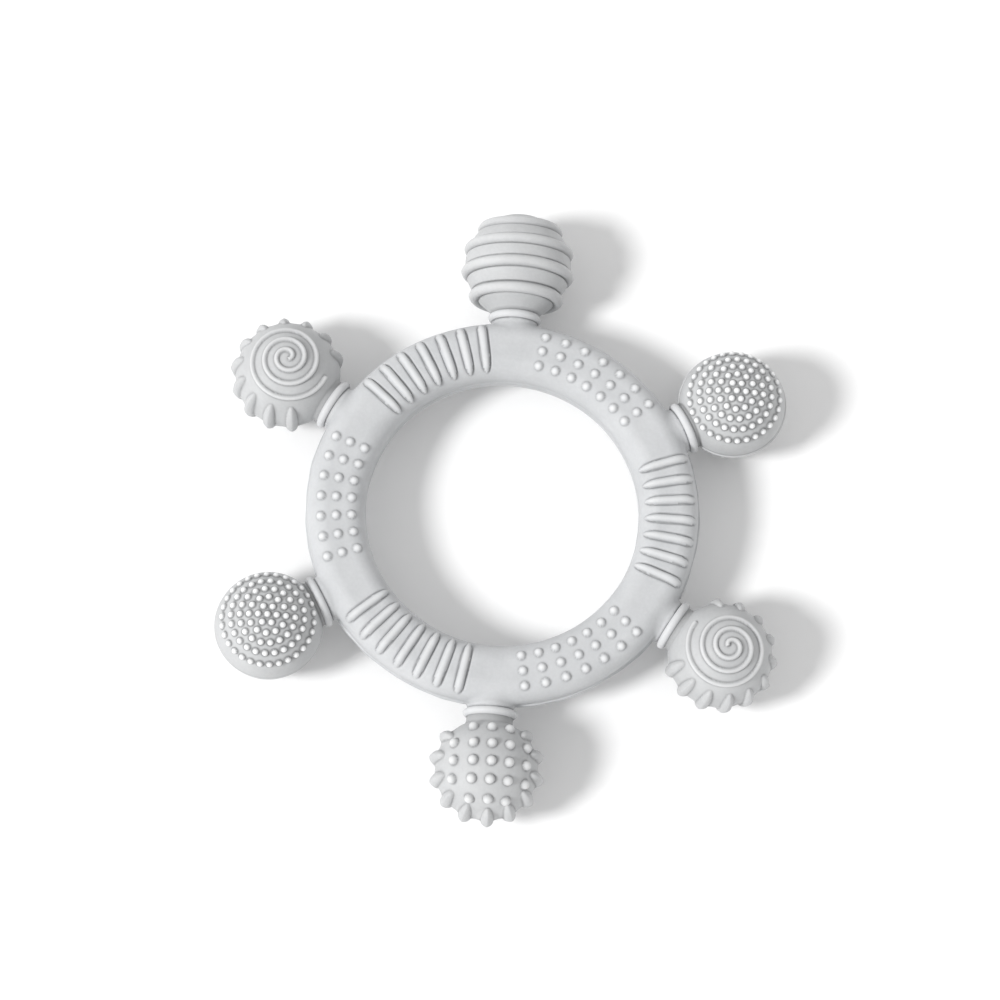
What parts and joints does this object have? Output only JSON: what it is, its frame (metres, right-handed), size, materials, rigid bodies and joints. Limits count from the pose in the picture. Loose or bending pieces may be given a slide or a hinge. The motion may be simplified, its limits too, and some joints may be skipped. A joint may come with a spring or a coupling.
{
  "type": "teething ring",
  "caption": "Soft silicone teething ring with textured ball heads on short collared necks round a ribbed and dotted grip.",
  "frame": {"origin": "centre of the ring's opening, on the moulding's parting plane at mid-height", "axes": "+Z along the opening's axis, up from the surface it lies on; +Y from the centre out through the banded head; the parting plane is Z = 0"},
  "size_m": [0.116, 0.1297, 0.0234],
  "materials": {
    "grip_silicone": "matte moulded silicone, pale cool grey",
    "head_silicone": "matte moulded silicone, pale cool grey",
    "collar_silicone": "matte moulded silicone, pale cool grey",
    "core_plastic": "natural food-grade polypropylene, unpainted"
  },
  "bodies": {
    "root": {"ring_upper_shell": "grip_silicone", "ring_lower_shell": "grip_silicone", "ring_hoop": "core_plastic", "banded_head": "head_silicone", "banded_head_collar": "collar_silicone", "banded_head_stem": "core_plastic", "dotted_head_right": "head_silicone", "dotted_head_right_collar": "collar_silicone", "dotted_head_right_stem": "core_plastic", "swirl_head_right": "head_silicone", "swirl_head_right_collar": "collar_silicone", "swirl_head_right_stem": "core_plastic", "knobbed_head": "head_silicone", "knobbed_head_collar": "collar_silicone", "knobbed_head_stem": "core_plastic", "dotted_head_left": "head_silicone", "dotted_head_left_collar": "collar_silicone", "dotted_head_left_stem": "core_plastic", "swirl_head_left": "head_silicone", "swirl_head_left_collar": "collar_silicone", "swirl_head_left_stem": "core_plastic"}
  },
  "joints": []
}
